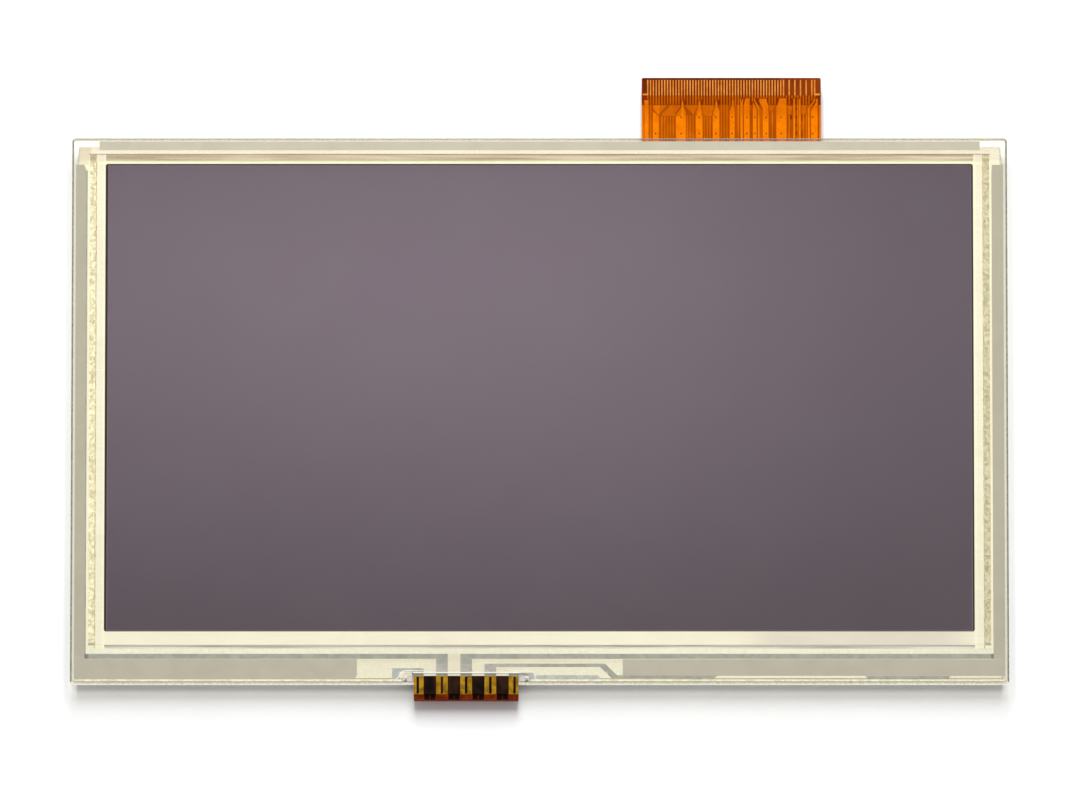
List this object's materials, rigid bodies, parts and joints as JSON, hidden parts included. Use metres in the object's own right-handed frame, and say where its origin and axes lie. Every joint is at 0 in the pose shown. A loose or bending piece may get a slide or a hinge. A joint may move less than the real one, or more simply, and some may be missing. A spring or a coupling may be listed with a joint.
{
  "type": "tft display module with touch panel",
  "caption": "Flat colour TFT display module with a resistive touch panel, a flexible connector tail at the top edge and a folded touch tail at the bottom edge",
  "frame": {"origin": "middle of the touch glass outline, on the plane of the rear plate's outside face", "axes": "+X right along the width seen from the viewing side, +Y up the picture towards the main flex, +Z out of the viewing face"},
  "size_m": [0.165, 0.1142, 0.0051],
  "materials": {
    "clear_film": "clear polyester film, slightly yellow",
    "silver_ink": "printed silver ink, satin",
    "adhesive": "clear yellowish adhesive",
    "clear_glass": "clear soda-lime glass",
    "tail_film": "dark polyimide film",
    "gilt_copper": "gold-plated copper",
    "amber_coverlay": "amber polyimide coverlay",
    "stiffener": "thick polyimide",
    "white_tape": "white double-sided foam tape",
    "bezel_steel": "bright tinned steel sheet",
    "polarizer": "dark mauve-grey polarizing film with a hard coat",
    "cell_glass": "thin display glass",
    "silicon": "bare silicon die",
    "black_tape": "black light-blocking tape",
    "optical_film": "pearly optical film",
    "light_guide": "clear acrylic",
    "white_film": "white reflective film",
    "led_package": "white package with yellow phosphor",
    "frame_plastic": "off-white polycarbonate",
    "rear_metal": "zinc-coated steel sheet",
    "flex_film": "orange-brown polyimide film",
    "copper": "copper under amber coverlay"
  },
  "bodies": {
    "root": {"touch_film": "clear_film", "film_silver": "silver_ink", "spacer_ring": "adhesive", "bus_bars": "silver_ink", "glass_traces": "silver_ink", "touch_glass": "clear_glass", "touch_tail": "tail_film", "tail_pads": "gilt_copper", "tail_coverlay": "amber_coverlay", "tail_contacts": "gilt_copper", "tail_stiffener": "stiffener", "panel_gasket": "white_tape", "bezel": "bezel_steel", "front_polarizer": "polarizer", "filter_glass": "cell_glass", "cell_seal": "adhesive", "tft_glass": "cell_glass", "rear_polarizer": "polarizer", "driver_chips": "silicon", "cell_tape": "black_tape", "upper_prism_sheet": "optical_film", "lower_prism_sheet": "optical_film", "diffuser_sheet": "optical_film", "light_guide": "light_guide", "reflector_sheet": "white_film", "led_flex": "amber_coverlay", "leds": "led_package", "mold_frame": "frame_plastic", "rear_plate": "rear_metal", "main_flex": "flex_film", "flex_lands": "copper", "flex_traces": "copper", "flex_contacts": "gilt_copper", "flex_coverlay": "amber_coverlay", "flex_stiffener": "stiffener"}
  },
  "joints": []
}
